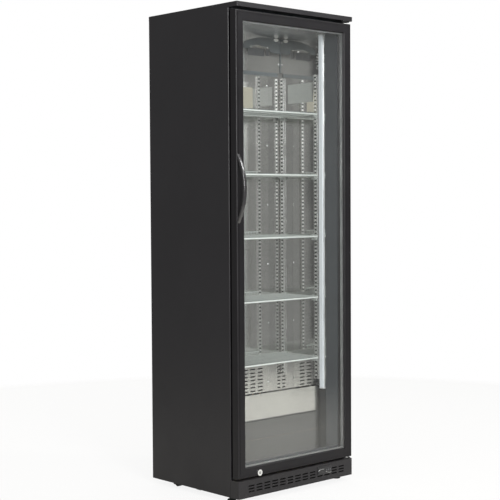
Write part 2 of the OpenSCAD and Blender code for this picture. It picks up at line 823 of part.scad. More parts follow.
// Flanged bushes that the hinge pins turn in
module hinge_bushes() color("#c7c9ca") in_place() translate([hinge_x, hinge_y, 0])
  for (low = [0, 1]) difference() {
    union() {
      translate([0, 0, low ? door_low : door_top - bush_len]) cylinder(r = bush_r, h = bush_len);
      translate([0, 0, low ? door_low - 2.5 : door_top]) cylinder(r = 8, h = 2.5);
    }
    translate([0, 0, low ? door_low - 5 : door_top - bush_len - 1])
      cylinder(r = pin_r + run, h = bush_len + 7);
  }

side_panel_left();
side_panel_right();
rear_panel();
top_cap();
base_tray();
machine_cover();
insulation();
liner_left();
liner_right();
liner_ceiling();
liner_floor();
liner_back();
throat_strips();
duct_panel();
fan_cover();
evaporator_coil();
evaporator_fan_motor();
evaporator_fan();
drip_tray();
pilasters();
shelf_clips();
shelf_1();
shelf_2();
shelf_3();
shelf_4();
shelf_5();
light_housing();
light_diffuser();
plinth_grille();
controller_housing();
controller_lens();
button_1();
button_2();
button_3();
compressor();
condenser_coil();
condenser_fan_motor();
condenser_fan();
evaporation_tray();
refrigerant_pipes();
power_inlet_box();
hinge_brackets();
roller_brackets();
roller_left();
roller_right();
foot_left();
foot_right();
panel_screws();
door_stile_left();
door_stile_right();
door_rail_top();
door_rail_bottom();
door_outer_glass();
door_inner_glass();
glass_spacer();
door_gasket();
door_handle();
lock_barrel();
lock_plug();
hinge_bushes();
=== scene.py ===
"""Looks of the glass door merchandiser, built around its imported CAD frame.

Metres, in the CAD's row frame: +Z up, -Y the front, origin on the floor.
"""

import json
import math

import bpy
from mathutils import Matrix, Vector
from mathutils.geometry import tessellate_polygon


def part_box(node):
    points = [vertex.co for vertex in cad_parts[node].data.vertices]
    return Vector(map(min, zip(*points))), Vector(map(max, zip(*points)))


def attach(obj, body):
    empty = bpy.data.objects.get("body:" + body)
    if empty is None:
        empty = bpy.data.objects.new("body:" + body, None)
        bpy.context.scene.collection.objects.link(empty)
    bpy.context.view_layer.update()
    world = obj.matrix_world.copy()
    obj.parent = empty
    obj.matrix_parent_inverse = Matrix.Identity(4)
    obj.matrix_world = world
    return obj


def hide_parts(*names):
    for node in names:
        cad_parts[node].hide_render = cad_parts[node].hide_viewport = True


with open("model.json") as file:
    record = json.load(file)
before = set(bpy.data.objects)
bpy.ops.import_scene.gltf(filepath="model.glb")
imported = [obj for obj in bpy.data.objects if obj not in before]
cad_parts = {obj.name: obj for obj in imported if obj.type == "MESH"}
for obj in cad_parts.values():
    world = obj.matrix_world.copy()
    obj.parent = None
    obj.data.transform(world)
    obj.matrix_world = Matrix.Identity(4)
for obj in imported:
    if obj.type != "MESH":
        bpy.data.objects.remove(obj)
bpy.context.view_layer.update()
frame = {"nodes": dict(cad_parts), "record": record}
nodes = frame["nodes"]
scene = bpy.context.scene

MM = 0.001
FULL_TURN = 2 * math.pi


# ---------- camera and light ----------

CAMERA_PLACE = (-3.2116, -3.4604, 1.0921)
CAMERA_FORWARD = Vector((0.67690, 0.73499, -0.03984))
CAMERA_UP = Vector((0.03120, 0.02543, 0.99918))
CAMERA_LENS = 88.0
SENSOR = 36.0


def make_camera():
    data = bpy.data.cameras.new("camera")
    data.lens = CAMERA_LENS
    data.sensor_width = SENSOR
    data.clip_end = 100
    camera = bpy.data.objects.new("camera", data)
    scene.collection.objects.link(camera)
    back = -CAMERA_FORWARD.normalized()
    right = CAMERA_UP.cross(back).normalized()
    up = back.cross(right)
    turn = Matrix((right, up, back)).transposed().to_4x4()
    camera.matrix_world = Matrix.Translation(CAMERA_PLACE) @ turn
    scene.camera = camera


# The even brightness of the room round the object
ROOM_GREY = (0.38, 0.38, 0.375)


def make_world():
    """The camera sees a white backdrop, and every other ray meets an even grey room."""
    world = bpy.data.worlds.new("studio")
    scene.world = world
    world.use_nodes = True
    tree = world.node_tree
    tree.nodes.clear()

    def node(kind):
        return tree.nodes.new("ShaderNode" + kind)

    room, backdrop = node("Background"), node("Background")
    mix, path, out = node("MixShader"), node("LightPath"), node("OutputWorld")
    for source, target in (
            (path.outputs["Is Camera Ray"], mix.inputs[0]),
            (room.outputs[0], mix.inputs[1]), (backdrop.outputs[0], mix.inputs[2]),
            (mix.outputs[0], out.inputs["Surface"])):
        tree.links.new(source, target)
    room.inputs["Color"].default_value = (*ROOM_GREY, 1)
    backdrop.inputs["Color"].default_value = (1, 1, 1, 1)


def area_light(name, place, target, size, power):
    """A soft white light of a size in metres and a power in watts, aimed at a target."""
    data = bpy.data.lights.new(name, "AREA")
    data.shape = "RECTANGLE"
    data.size, data.size_y = size
    data.energy = power
    lamp = bpy.data.objects.new(name, data)
    scene.collection.objects.link(lamp)
    lamp.location = place
    aim = Vector(target) - Vector(place)
    lamp.rotation_euler = aim.to_track_quat("-Z", "Y").to_euler()


make_camera()
make_world()
area_light("overhead", (-0.4, -0.8, 4.6), (0, -0.4, 0), (4.5, 4.0), 170)
area_light("key", (-1.9, -4.9, 2.3), (0, 0, 1.0), (1.2, 1.6), 330)
area_light("back", (1.6, 4.2, 2.6), (0, 0, 0.9), (2.4, 2.4), 60)
area_light("handle_glint", (2.9, -3.1, 4.1), (-0.3, -0.25, 1.2), (0.5, 1.5), 90)
scene.view_settings.view_transform = "Standard"
scene.view_settings.look = "None"
scene.cycles.glossy_bounces = 8
scene.cycles.max_bounces = 14
scene.cycles.transparent_max_bounces = 16


# ---------- materials ----------


class Surface:
    """A material around one Principled shader, with procedural detail added by calls."""

    def __init__(self, name, color, roughness, metallic=0.0, **sockets):
        self.material = bpy.data.materials.new(name)
        self.material.use_nodes = True
        self.tree = self.material.node_tree
        self.shader = self.tree.nodes["Principled BSDF"]
        self.shader.inputs["Base Color"].default_value = (*color, 1)
        self.shader.inputs["Roughness"].default_value = roughness
        self.shader.inputs["Metallic"].default_value = metallic
        for key, value in sockets.items():
            self.shader.inputs[key.replace("_", " ")].default_value = value
        self.normal = None

    def node(self, kind, **values):
        made = self.tree.nodes.new("ShaderNode" + kind)
        for key, value in values.items():
            setattr(made, key, value)
        return made

    def link(self, source, target):
        self.tree.links.new(source, target)

    def place(self, stretch=(1, 1, 1)):
        """Object coordinates, stretched: 1 on an axis keeps it, less draws detail out."""
        coords = self.node("TexCoord")
        mapping = self.node("Mapping")
        mapping.inputs["Scale"].default_value = stretch
        self.link(coords.outputs["Object"], mapping.inputs["Vector"])
        return mapping.outputs["Vector"]

    def noise(self, scale, detail=3.0, stretch=(1, 1, 1), distortion=0.0):
        made = self.node("TexNoise")
        made.inputs["Scale"].default_value = scale
        made.inputs["Detail"].default_value = detail
        made.inputs["Distortion"].default_value = distortion
        self.link(self.place(stretch), made.inputs["Vector"])
        return made.outputs["Fac"]

    def cells(self, scale, output="Color"):
        made = self.node("TexVoronoi")
        made.inputs["Scale"].default_value = scale
        self.link(self.place(), made.inputs["Vector"])
        return made.outputs[output]

    def ramp(self, source, low, high, start=0.35, end=0.65):
        """source mapped from start..end to low..high, which are numbers."""
        made = self.node("MapRange")
        for key, value in zip(("From Min", "From Max", "To Min", "To Max"),
                              (start, end, low, high)):
            made.inputs[key].default_value = value
        self.link(source, made.inputs["Value"])
        return made.outputs["Result"]

    def math(self, operation, first, second):
        made = self.node("Math", operation=operation)
        for slot, value in zip(made.inputs, (first, second)):
            if isinstance(value, (int, float)):
                slot.default_value = value
            else:
                self.link(value, slot)
        return made.outputs[0]

    def facing_up(self):
        """1 on faces that look up, 0 on the others."""
        geometry = self.node("NewGeometry")
        split = self.node("SeparateXYZ")
        self.link(geometry.outputs["Normal"], split.inputs[0])
        return self.ramp(split.outputs["Z"], 0, 1, 0.6, 0.95)

    def tint(self, factor, color):
        """Mixes a colour over what the base colour is so far."""
        base = self.shader.inputs["Base Color"]
        mix = self.node("Mix", data_type="RGBA")
        if base.is_linked:
            self.link(base.links[0].from_socket, mix.inputs["A"])
        else:
            mix.inputs["A"].default_value = base.default_value
        mix.inputs["B"].default_value = (*color, 1)
        self.link(factor, mix.inputs["Factor"])
        self.link(mix.outputs["Result"], base)
        return self

    def vary_roughness(self, source, low, high, start=0.35, end=0.65):
        self.link(self.ramp(source, low, high, start, end), self.shader.inputs["Roughness"])
        return self

    def bump(self, source, depth, strength=1.0):
        """Adds relief of a depth in metres."""
        made = self.node("Bump")
        made.inputs["Strength"].default_value = strength
        made.inputs["Distance"].default_value = depth
        self.link(source, made.inputs["Height"])
        if self.normal is not None:
            self.link(self.normal, made.inputs["Normal"])
        self.normal = made.outputs["Normal"]
        self.link(self.normal, self.shader.inputs["Normal"])
        return self


# Stretches that draw detail out into lines along an axis
ALONG_Z = (1, 1, 0.02)
ALONG_X = (0.02, 1, 1)
ALONG_Y = (1, 0.02, 1)


def powder_coat(name, color, roughness, grain=900):
    """Satin powder coat: orange peel, cloudy gloss, and a little dust on top faces."""
    made = Surface(name, color, roughness, Specular_IOR_Level=0.36)
    made.tint(made.ramp(made.noise(5, 4), 0, 0.35), tuple(1.35 * c for c in color))
    made.tint(made.math("MULTIPLY", made.facing_up(), made.ramp(made.noise(60, 6), 0.0, 0.10)),
              (0.35, 0.33, 0.31))
    made.vary_roughness(made.noise(9, 5), roughness - 0.05, roughness + 0.06)
    made.bump(made.noise(grain, 2), 0.00004, 0.5)
    return made.material


def extrusion_coat(name, color, roughness, stretch):
    """Painted aluminium profile: fine draw lines under the paint."""
    made = Surface(name, color, roughness, Specular_IOR_Level=0.22)
    made.tint(made.ramp(made.noise(7, 4), 0, 0.4), tuple(1.4 * c for c in color))
    made.vary_roughness(made.noise(14, 5), roughness - 0.05, roughness + 0.05)
    made.bump(made.noise(420, 3, stretch), 0.00003, 0.5)
    made.bump(made.noise(1500, 1), 0.00002, 0.4)
    return made.material


def polished_sheet(name, color, waves, rolled=ALONG_Z, dull=0.0):
    """Mirror-bright rolled sheet: rolling lines, faint wipe marks and long shallow waves."""
    made = Surface(name, color, 0.08, 1.0)
    made.tint(made.ramp(made.noise(3, 3), 0, 0.5), tuple(0.86 * c for c in color))
    made.tint(made.ramp(made.noise(300, 2, rolled), 0, 0.25, 0.5, 0.8),
              tuple(0.85 * c for c in color))
    made.vary_roughness(made.noise(26, 6, distortion=0.6), 0.015 + dull, 0.05 + dull)
    made.bump(made.noise(4.5, 2, (1, 1, 0.45)), waves, 1.0)
    made.bump(made.noise(260, 2, rolled), 0.000006, 0.5)
    return made.material


def galvanised_sheet(name, color, roughness):
    """Zinc-coated sheet with its spangle, dulled in patches."""
    made = Surface(name, color, roughness, 0.85)
    split = made.node("SeparateColor")
    made.link(made.cells(95), split.inputs[0])
    spangle = split.outputs[0]
    made.tint(made.ramp(spangle, 0, 0.55, 0.2, 0.9), tuple(1.5 * c for c in color))
    made.tint(made.ramp(made.noise(12, 6), 0, 0.45), tuple(0.6 * c for c in color))
    made.vary_roughness(spangle, roughness - 0.1, roughness + 0.12, 0, 1)
    made.bump(made.noise(300, 3), 0.00004, 0.5)
    return made.material


def moulded_plastic(name, color, roughness, grain=1100, depth=0.00005, **sockets):
    """Moulded plastic with a fine spark-eroded grain and handled, uneven gloss."""
    made = Surface(name, color, roughness, **sockets)
    made.tint(made.ramp(made.noise(16, 5), 0, 0.3), tuple(1.25 * c for c in color))
    made.vary_roughness(made.noise(34, 5), roughness - 0.06, roughness + 0.08)
    made.bump(made.noise(grain, 2), depth, 0.6)
    return made.material


def drawn_metal(name, color, roughness, stretch, depth=0.00003):
    """Bare metal with drawing or brushing lines along one axis and light tarnish."""
    made = Surface(name, color, roughness, 1.0, Anisotropic=0.35)
    made.tint(made.ramp(made.noise(18, 6), 0, 0.4), tuple(0.7 * c for c in color))
    made.vary_roughness(made.noise(620, 2, stretch), roughness - 0.06, roughness + 0.1)
    made.bump(made.noise(620, 2, stretch), depth, 0.6)
    return made.material


def rough_foam(name):
    made = Surface(name, (0.74, 0.60, 0.33), 0.85)
    made.tint(made.ramp(made.noise(8, 6), 0, 0.6), (0.55, 0.40, 0.18))
    made.bump(made.cells(420, "Distance"), 0.0006, 0.8)
    return made.material


def clear_glass(name):
    """Thin float glass that lets light through, with wipe marks in its reflections."""
    made = Surface(name, (0.8, 0.85, 0.84), 0.05)
    tree = made.tree
    clear = made.node("BsdfTransparent")
    clear.inputs["Color"].default_value = (0.987, 0.990, 0.990, 1)
    gloss = made.node("BsdfGlossy")
    gloss.inputs["Color"].default_value = (1, 1, 1, 1)
    made.link(made.ramp(made.noise(22, 6, distortion=1.2), 0.01, 0.06, 0.45, 0.75),
              gloss.inputs["Roughness"])
    fresnel = made.node("Fresnel")
    fresnel.inputs["IOR"].default_value = 1.5
    # Seen from inside the glass the Fresnel share would be total, so only outer faces shine
    outer = made.math("SUBTRACT", 1.0, made.node("NewGeometry").outputs["Backfacing"])
    share = made.math("MULTIPLY", fresnel.outputs[0], outer)
    mix = made.node("MixShader")
    made.link(share, mix.inputs[0])
    made.link(clear.outputs[0], mix.inputs[1])
    made.link(gloss.outputs[0], mix.inputs[2])
    tree.links.new(mix.outputs[0], tree.nodes["Material Output"].inputs["Surface"])
    tree.nodes.remove(made.shader)
    return made.material


def spacer_metal(name):
    """Bright spacer bar with its two rows of tiny breathing holes."""
    made = Surface(name, (0.46, 0.47, 0.47), 0.4, 1.0)
    made.tint(made.ramp(made.noise(30, 4), 0, 0.4), (0.38, 0.39, 0.39))
    dots = made.cells(330, "Distance")
    made.tint(made.ramp(dots, 0.8, 0, 0.12, 0.2), (0.08, 0.08, 0.08))
    made.bump(dots, 0.0001, 0.4)
    return made.material


def coated_wire(name, color):
    """Pale plastic-coated wire, a little thick where the coating has run."""
    made = Surface(name, color, 0.32, Coat_Weight=0.3, Coat_Roughness=0.15)
    made.tint(made.ramp(made.noise(25, 5), 0, 0.45), tuple(0.85 * c for c in color))
    made.tint(made.ramp(made.noise(160, 3), 0, 0.2, 0.6, 0.8), (0.45, 0.45, 0.42))
    made.vary_roughness(made.noise(90, 4), 0.26, 0.42)
    made.bump(made.noise(260, 3), 0.00015, 0.5)
    return made.material


def milky(name):
    # The diffuser glows faintly though its lamp is off: painted light
    made = Surface(name, (0.50, 0.52, 0.54), 0.35, Subsurface_Weight=0.3,
                   Emission_Color=(0.9, 0.96, 1, 1), Emission_Strength=0.2)
    made.shader.inputs["Subsurface Radius"].default_value = (0.01, 0.01, 0.01)
    made.tint(made.ramp(made.noise(11, 4), 0, 0.3), (0.46, 0.49, 0.51))
    made.vary_roughness(made.noise(60, 4), 0.28, 0.42)
    made.bump(made.noise(500, 2, ALONG_Z), 0.00003, 0.5)
    return made.material


def fin_stock(name, color, roughness, metallic):
    """Thin fins, dusty in patches, with small wrinkles."""
    made = Surface(name, color, roughness, metallic)
    made.tint(made.ramp(made.noise(40, 6), 0, 0.5), tuple(0.55 * c + 0.03 for c in color))
    made.vary_roughness(made.noise(70, 5), roughness - 0.05, roughness + 0.15)
    made.bump(made.noise(240, 4, (1, 1, 0.3)), 0.0003, 0.7)
    return made.material


def aged_copper(name):
    made = Surface(name, (0.80, 0.44, 0.28), 0.28, 1.0)
    made.tint(made.ramp(made.noise(45, 6), 0, 0.8), (0.36, 0.19, 0.12))
    made.vary_roughness(made.noise(80, 5), 0.2, 0.5)
    made.bump(made.noise(400, 3), 0.00008, 0.5)
    return made.material


def pale_paper(name, color):
    made = Surface(name, color, 0.45)
    made.tint(made.ramp(made.noise(70, 5), 0, 0.35), tuple(0.85 * c for c in color))
    made.vary_roughness(made.noise(90, 4), 0.38, 0.55)
    made.bump(made.noise(800, 3), 0.00003, 0.6)
    return made.material


BLACK = (0.0098, 0.0090, 0.0105)
materials = {
    "black_steel": powder_coat("black_steel", BLACK, 0.42),
    "cap_black": powder_coat("cap_black", BLACK, 0.40),
    "galvanised": galvanised_sheet("galvanised", (0.34, 0.35, 0.355), 0.38),
    "foam": rough_foam("foam"),
    "polished_liner": polished_sheet("polished_liner", (0.72, 0.715, 0.70), 0.00005),
    "black_plastic": moulded_plastic("black_plastic", (0.02, 0.02, 0.021), 0.5),
    "coil_aluminium": fin_stock("coil_aluminium", (0.75, 0.77, 0.78), 0.35, 1.0),
    "coil_black": fin_stock("coil_black", (0.022, 0.022, 0.023), 0.5, 0.0),
    "fan_plastic": moulded_plastic("fan_plastic", (0.72, 0.73, 0.72), 0.42),
    "pilaster_steel": polished_sheet("pilaster_steel", (0.84, 0.84, 0.82), 0.0001, dull=0.16),
    "bar_lip": drawn_metal("bar_lip", (0.52, 0.53, 0.51), 0.45, ALONG_Z),
    "screw_steel": drawn_metal("screw_steel", (0.78, 0.79, 0.79), 0.22, ALONG_Z),
    "throat_grey": moulded_plastic("throat_grey", (0.037, 0.042, 0.047), 0.5, 800, 0.00001),
    "guide_grey": moulded_plastic("guide_grey", (0.085, 0.098, 0.102), 0.5, 800, 0.00001),
    # Grey in place of the clips' own pale plastic: painted shade from the shelves over them
    "clip_shade_grey": moulded_plastic("clip_shade_grey", (0.34, 0.36, 0.34), 0.4),
    "duct_grey": moulded_plastic("duct_grey", (0.07, 0.072, 0.075), 0.6, 800, 0.00002),
    # Near-black sponge; it also fills holes, vents and the key slot as painted shade
    "sponge_and_shade_black": moulded_plastic("sponge_and_shade_black", (0.003, 0.003, 0.003), 0.9, 260, 0.0006,
                                    Specular_IOR_Level=0.05),
    "white_plastic": moulded_plastic("white_plastic", (0.86, 0.86, 0.83), 0.3),
    # The wires are a darker copy of the rails' pale coating: painted shade; the rails keep the
    # coating's own colour
    "shelf_wire": coated_wire("shelf_wire", (0.36, 0.385, 0.365)),
    "shelf_rail": coated_wire("shelf_rail", (0.58, 0.61, 0.585)),
    "light_base": drawn_metal("light_base", (0.74, 0.75, 0.76), 0.32, ALONG_Z),
    "milky_diffuser": milky("milky_diffuser"),
    "controller_black": moulded_plastic("controller_black", (0.013, 0.013, 0.014), 0.42),
    "lens_black": moulded_plastic("lens_black", (0.010, 0.010, 0.012), 0.12, 500, 0.00001),
    "button_grey": moulded_plastic("button_grey", (0.05, 0.05, 0.054), 0.45),
    "copper": aged_copper("copper"),
    "rubber_black": moulded_plastic("rubber_black", (0.017, 0.017, 0.017), 0.68, 700, 0.0001),
    "clear_glass": clear_glass("clear_glass"),
    "spacer_aluminium": spacer_metal("spacer_aluminium"),
    "gasket_rubber": moulded_plastic("gasket_rubber", (0.011, 0.011, 0.011), 0.6, 900, 0.00005),
    "handle_black": moulded_plastic("handle_black", (0.016, 0.015, 0.016), 0.27, 1500, 0.00002,
                                    Coat_Weight=0.5, Coat_Roughness=0.16),
    "lock_chrome": drawn_metal("lock_chrome", (0.86, 0.87, 0.88), 0.10, ALONG_Y, 0.000008),
    "label": pale_paper("label", (0.34, 0.355, 0.335)),
    "label_warm": pale_paper("label_warm", (0.38, 0.36, 0.29)),
    "plug_steel": drawn_metal("plug_steel", (0.50, 0.50, 0.51), 0.24, ALONG_Y, 0.00001),
}
FRAME_BLACK = (0.0066, 0.0060, 0.0070)
frame_up = extrusion_coat("door_black_upright", FRAME_BLACK, 0.40, ALONG_Z)
frame_across = extrusion_coat("door_black_across", FRAME_BLACK, 0.44, ALONG_X)
liner_flat = polished_sheet("polished_liner_flat", (0.64, 0.64, 0.635), 0.00012, ALONG_Y)
liner_satin = polished_sheet("polished_liner_satin", (0.76, 0.755, 0.735), 0.00005, dull=0.09)
# The ceiling's copy of the polished liner is brighter than the rest: painted light; its duller
# gloss is the sheet's own
liner_dull = polished_sheet("polished_liner_dull", (0.88, 0.89, 0.89), 0.0001, ALONG_Y, 0.22)
special_materials = {
    "duct_panel": liner_satin, "fan_cover": liner_satin,
    "door_rail_top": frame_across, "door_rail_bottom": frame_across,
    "door_stile_left": frame_up, "door_stile_right": frame_up,
    "liner_floor": liner_flat, "liner_ceiling": liner_dull, "lock_plug": materials["plug_steel"],
    "shelf_clips": materials["clip_shade_grey"],
}

record = frame["record"]
for part in record["subparts"]:
    node = part["node"]
    material = special_materials.get(node) or materials[part["material_slot"]]
    mesh = nodes[node].data
    mesh.materials.clear()
    mesh.materials.append(material)


# ---------- shared mesh work ----------


def add_object(name, vertices, faces, material, body):
    mesh = bpy.data.meshes.new(name)
    mesh.from_pydata([tuple(v) for v in vertices], [], faces)
    mesh.validate()
    mesh.materials.append(material)
    for face in mesh.polygons:
        face.use_smooth = True
    made = bpy.data.objects.new(name, mesh)
    scene.collection.objects.link(made)
    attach(made, body)
    return made


def soften(obj, width):
    """Rounds the sharp edges of a piece."""
    bevel = obj.modifiers.new("soft_edges", "BEVEL")
    bevel.width = width
    bevel.segments = 2
    bevel.limit_method = "ANGLE"
    bevel.angle_limit = math.radians(30)
    bevel.harden_normals = True


class Shape:
    """Vertices and faces gathered from many simple forms into one piece."""

    def __init__(self):
        self.vertices = []
        self.faces = []

    def add(self, vertices, faces):
        start = len(self.vertices)
        self.vertices += [Vector(v) for v in vertices]
        self.faces += [tuple(start + i for i in face) for face in faces]

    def loft(self, rings, closed=False, caps=True):
        """Joins rings of equal length; closed joins the last ring to the first."""
        count = len(rings[0])
        faces = []
        pairs = len(rings) if closed else len(rings) - 1
        for i in range(pairs):
            a, b = i * count, (i + 1) % len(rings) * count
            faces += [(a + k, a + (k + 1) % count, b + (k + 1) % count, b + k)
                      for k in range(count)]
        if caps and not closed:
            faces.append(tuple(range(count))[::-1])
            faces.append(tuple(range((len(rings) - 1) * count, len(rings) * count)))
        self.add([v for ring in rings for v in ring], faces)

    def tube(self, points, radius, sides, closed=False):
        """A round bar through points."""
        points = [Vector(p) for p in points]
        count = len(points)
        rings = []
        side = None
        for i, point in enumerate(points):
            before = points[i - 1] if closed or i else point
            after = points[(i + 1) % count] if closed or i < count - 1 else point
            ahead = (after - before).normalized()
            if side is None:
                side = ahead.orthogonal()
            side = (side - ahead * side.dot(ahead)).normalized()
            other = ahead.cross(side)
            rings.append([point + radius * (math.cos(a) * side + math.sin(a) * other)
                          for a in (FULL_TURN * k / sides for k in range(sides))])
        self.loft(rings, closed)

    def lathe(self, profile, sides, centre):
        """Turns (radius, height) points about an upright axis through centre."""
        self.loft([[Vector(centre) + Vector((radius * math.cos(a), radius * math.sin(a), height))
                    for a in (FULL_TURN * k / sides for k in range(sides))]
                   for radius, height in profile])

    def object(self, name, material, body):
        return add_object(name, self.vertices, self.faces, material, body)


def rounded_path(points, radius, steps=6, closed=False):
    """A path whose corners are arcs of a radius."""
    points = [Vector(p) for p in points]
    count = len(points)
    path = []
    for i, corner in enumerate(points):
        if not closed and i in (0, count - 1):
            path.append(corner)
            continue
        back = (points[i - 1] - corner).normalized()
        ahead = (points[(i + 1) % count] - corner).normalized()
        half = math.acos(max(-1, min(1, back.dot(ahead)))) / 2
        reach = radius / math.tan(half)
        start, end = corner + back * reach, corner + ahead * reach
        centre = corner + (back + ahead).normalized() * (radius / math.sin(half))
        for k in range(steps + 1):
            spoke = (start - centre).lerp(end - centre, k / steps)
            path.append(centre + spoke.normalized() * radius)
    return path


def shade_smooth_by_angle(obj, angle):
    """Smooth shading that keeps creases sharper than the angle."""
    mesh = obj.data
    for face in mesh.polygons:
        face.use_smooth = True
    mesh.set_sharp_from_angle(angle=math.radians(angle))


# ---------- shelves ----------

RAIL_R = 3 * MM
WIRE_R = 1.35 * MM
WIRE_PITCH = 15 * MM
STOP_RAIL_R = 2 * MM
CORNER_R = 9 * MM
WIRE_BEND_R = 4 * MM
STOP_HALF = 128 * MM
# Places of the two cross rails, as shares of the depth
CROSS_RAILS = (0.355, 0.695)


def make_shelf(number):
    """A welded wire shelf: a bent frame, two cross rails, wires and a raised stop rail."""
    node = f"shelf_{number}"
    low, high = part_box(node)
    wire_z = low.z + 2 * RAIL_R + WIRE_R - 0.5 * MM
    rail_z = low.z + RAIL_R
    left, right = low.x + RAIL_R, high.x - RAIL_R
    front, back = low.y + RAIL_R, high.y - RAIL_R
    shape, frame_bar = Shape(), Shape()
    corners = [(left, front, rail_z), (right, front, rail_z),
               (right, back, rail_z), (left, back, rail_z)]
    frame_bar.tube(rounded_path(corners, CORNER_R, closed=True), RAIL_R, 14, closed=True)
    for share in CROSS_RAILS:
        y = low.y + share * (high.y - low.y)
        shape.tube([(left, y, rail_z), (right, y, rail_z)], RAIL_R, 12)
    stop_z = high.z - STOP_RAIL_R
    stop_y = high.y - STOP_RAIL_R - 0.5 * MM
    half_count = int((right - 8 * MM) / WIRE_PITCH)
    for k in range(-half_count, half_count + 1):
        x = k * WIRE_PITCH
        path = [(x, front - 1.5 * MM, wire_z - 1.6 * MM), (x, front + 3 * MM, wire_z)]
        if abs(x) < STOP_HALF:
            path += [(x, stop_y, wire_z), (x, stop_y, stop_z)]
            path = path[:1] + rounded_path(path[1:], WIRE_BEND_R)
        else:
            path += [(x, back + 1 * MM, wire_z)]
        shape.tube(path, WIRE_R, 8)
    shape.tube([(-STOP_HALF, stop_y, stop_z), (STOP_HALF, stop_y, stop_z)], STOP_RAIL_R, 10)
    for piece, name, material in ((frame_bar, "shelf_frame", "shelf_rail"),
                                  (shape, "shelf_wires", "shelf_wire")):
        made = piece.object(f"{name}_{number}", materials[material], node)
        shade_smooth_by_angle(made, 50)
        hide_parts(node)


for number in range(1, 6):
    make_shelf(number)


# ---------- door: handle, seal ----------


def arc_depth(z, half, reach):
    """How far an arc of half-length half and the given reach stands out at height z."""
    if abs(z) >= half:
        return 0.0
    radius = (half * half + reach * reach) / (2 * reach)
    return math.sqrt(radius * radius - z * z) - (radius - reach)


def rounded_section(half_width, near, far, corner, steps=4):
    """Corners of a rounded rectangle across (x, depth)."""
    corner = min(corner, (far - near) / 2.01, half_width / 1.01)
    points = []
    for k, (sx, d) in enumerate(((1, near), (1, far), (-1, far), (-1, near))):
        sy = 1 if d == far else -1
        cx, cy = sx * (half_width - corner), d - sy * corner
        start = (-0.25, 0, 0.25, 0.5)[k] * FULL_TURN
        for step in range(steps + 1):
            a = start + step / steps * FULL_TURN / 4
            points.append((cx + corner * math.cos(a), cy + corner * math.sin(a)))
    return points


STRAP_THICK = 7 * MM
FOOT_LENGTH = 18 * MM
HANDLE_STATIONS = 72


def make_handle():
    """A bow handle with rounded edges, thinning into its two feet."""
    low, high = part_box("door_handle")
    mid_x, mid_z = (low.x + high.x) / 2, (low.z + high.z) / 2
    half = (high.z - low.z) / 2
    reach = high.y - low.y
    rings = []
    for i in range(HANDLE_STATIONS + 1):
        z = -half * math.cos(math.pi * i / HANDLE_STATIONS)
        far = max(arc_depth(z, half, reach), 0.3 * MM)
        near = arc_depth(z, half - FOOT_LENGTH, reach - STRAP_THICK)
        near = min(near, far - 0.25 * MM)
        half_width = (high.x - low.x) / 2 * (1 - 0.16 * (z / half) ** 4)
        rings.append([(mid_x + x, high.y - depth, mid_z + z)
                      for x, depth in rounded_section(half_width, near, far, 3 * MM)])
    shape = Shape()
    shape.loft(rings)
    handle = shape.object("bow_handle", materials["handle_black"], "door")
    shade_smooth_by_angle(handle, 55)
    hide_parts("door_handle")


# Half of the seal's section: distance in from its outer edge, and depth from the door (0)
# to the body (1). A flange, a waist of two soft folds, and the magnet's pocket.
SEAL_WIDTH = 17 * MM
SEAL_SECTION = [
    (0.0, 0.0), (0.0, 0.10), (0.10, 0.20), (0.24, 0.24), (0.16, 0.34), (0.26, 0.45),
    (0.10, 0.54), (0.0, 0.62), (0.0, 0.90), (0.04, 0.98), (0.12, 1.0), (0.72, 1.0),
    (0.80, 0.98), (0.84, 0.90), (0.84, 0.62), (0.74, 0.54), (0.60, 0.45), (0.70, 0.34),
    (0.66, 0.24), (0.84, 0.20), (1.0, 0.10), (1.0, 0.0),
]


def make_seal():
    """A folded magnetic seal, mitred at its corners."""
    low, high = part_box("door_gasket")
    rings = []
    for sx, sz in ((-1, -1), (1, -1), (1, 1), (-1, 1)):
        corner_x = high.x if sx > 0 else low.x
        corner_z = high.z if sz > 0 else low.z
        rings.append([(corner_x - sx * share * SEAL_WIDTH,
                       low.y + depth * (high.y - low.y),
                       corner_z - sz * share * SEAL_WIDTH) for share, depth in SEAL_SECTION])
    shape = Shape()
    shape.loft(rings, closed=True)
    seal = shape.object("folded_seal", materials["gasket_rubber"], "door")
    shade_smooth_by_angle(seal, 40)
    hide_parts("door_gasket")


make_handle()
make_seal()


# ---------- small pieces ----------

FRONT_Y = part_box("side_panel_left")[0].y
INNER_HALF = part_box("liner_right")[0].x
DUCT_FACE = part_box("duct_panel")[0].y
COVER_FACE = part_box("fan_cover")[0].y


def at(x, y, z):
    """A place in millimetres, with y from the front of the body."""
    return Vector((x * MM, FRONT_Y + y * MM, z * MM))


def block(shape, low, high):
    """A box between two corners."""
    x0, y0, z0 = low
    x1, y1, z1 = high
    shape.loft([[Vector((x, y, z)) for x, y in ((x0, y0), (x1, y0), (x1, y1), (x0, y1))]
                for z in (z0, z1)])


def slab(shape, outline, near, far):
    """A flat plate: an outline of (x, z) points between two y planes."""
    shape.loft([[Vector((x, y, z)) for x, z in outline] for y in (near, far)])


def finish_piece(shape, name, material, body, edge=0.0, smooth_angle=35):
    made = shape.object(name, materials[material], body)
    shade_smooth_by_angle(made, smooth_angle)
    if edge:
        soften(made, edge * MM)
    return made


def cross_outline(reach, arm):
    """A plus shape, anticlockwise."""
    quarter = [(reach, -arm), (reach, arm), (arm, arm)]
    points = []
    for k in range(4):
        c, s = math.cos(k * math.pi / 2), math.sin(k * math.pi / 2)
        points += [(c * x - s * y, s * x + c * y) for x, y in quarter]
    return points


